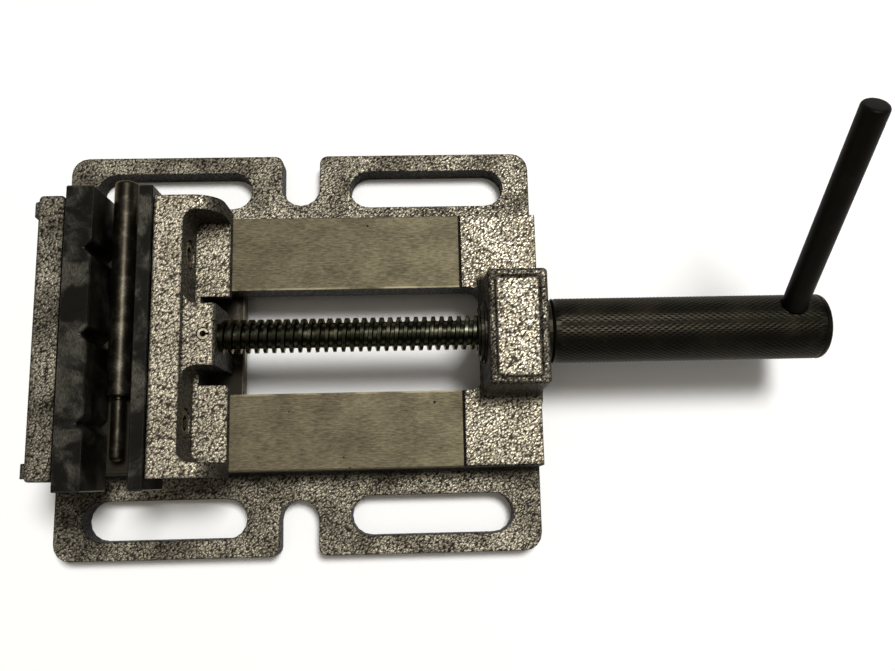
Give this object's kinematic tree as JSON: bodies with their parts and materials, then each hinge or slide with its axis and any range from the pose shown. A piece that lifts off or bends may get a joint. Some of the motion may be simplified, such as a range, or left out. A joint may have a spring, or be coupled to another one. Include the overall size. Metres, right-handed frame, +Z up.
{
  "type": "drill press vise",
  "caption": "Low drill press vise: slotted cast base, fixed jaw with V grooves, sliding jaw on machined ways, left-hand lead screw, knurled handle with a crank bar, spare bar in the jaws.",
  "frame": {"origin": "middle of the vise's bounding box, on the underside of the base", "axes": "+X runs from the fixed jaw to the handle, along the lead screw; +Y runs along the jaws, to the left of someone looking from the fixed jaw to the handle, and the crank leans to it; +Z points up from the underside"},
  "size_m": [0.2778, 0.1544, 0.1126],
  "materials": {
    "hammertone_paint": "silver-grey hammertone paint on cast iron, with a dark worm-like relief; the ways are bare machined iron",
    "black_oxide_plate": "black oxide on steel, worn grey in patches",
    "dark_fasteners": "dark oiled steel",
    "oiled_screw_steel": "black oiled steel with a bright line along the crests",
    "knurled_steel": "dark grey steel with a diamond knurl",
    "dark_bar_steel": "plain dark steel bar with a satin skin"
  },
  "bodies": {
    "base": {"base_casting": "hammertone_paint", "fixed_jaw_plate": "black_oxide_plate", "fixed_jaw_screw_front": "dark_fasteners", "fixed_jaw_screw_back": "dark_fasteners", "outer_thrust_washer": "dark_fasteners", "spare_crank_bar": "dark_bar_steel"},
    "jaw": {"movable_jaw_casting": "hammertone_paint", "movable_jaw_plate": "black_oxide_plate", "movable_jaw_screw_front": "dark_fasteners", "movable_jaw_screw_back": "dark_fasteners", "jaw_keeper_plate": "black_oxide_plate", "keeper_bolt_front": "dark_fasteners", "keeper_bolt_back": "dark_fasteners", "keeper_washer_front": "dark_fasteners", "keeper_washer_back": "dark_fasteners", "lead_screw": "oiled_screw_steel", "screw_lock_pin": "dark_fasteners"},
    "handle": {"handle_sleeve": "knurled_steel", "crank_bar": "dark_bar_steel", "inner_thrust_washer": "dark_fasteners", "retaining_ring": "dark_fasteners"}
  },
  "joints": [
    {"name": "jaw_slide", "type": "slide", "parent": "base", "child": "jaw", "axis": [1, 0, 0], "range_m": [-0.0053, 0.083]},
    {"name": "handle_turn", "type": "hinge", "parent": "base", "child": "handle", "pos_m": [0.1, 0, 0.0379], "axis": [1, 0, 0], "range_deg": [-635.9, 9959.9]}
  ],
  "couplings": [
    {"joint": "jaw_slide", "follows": "handle_turn", "m_per_rad": 0.00047746}
  ]
}
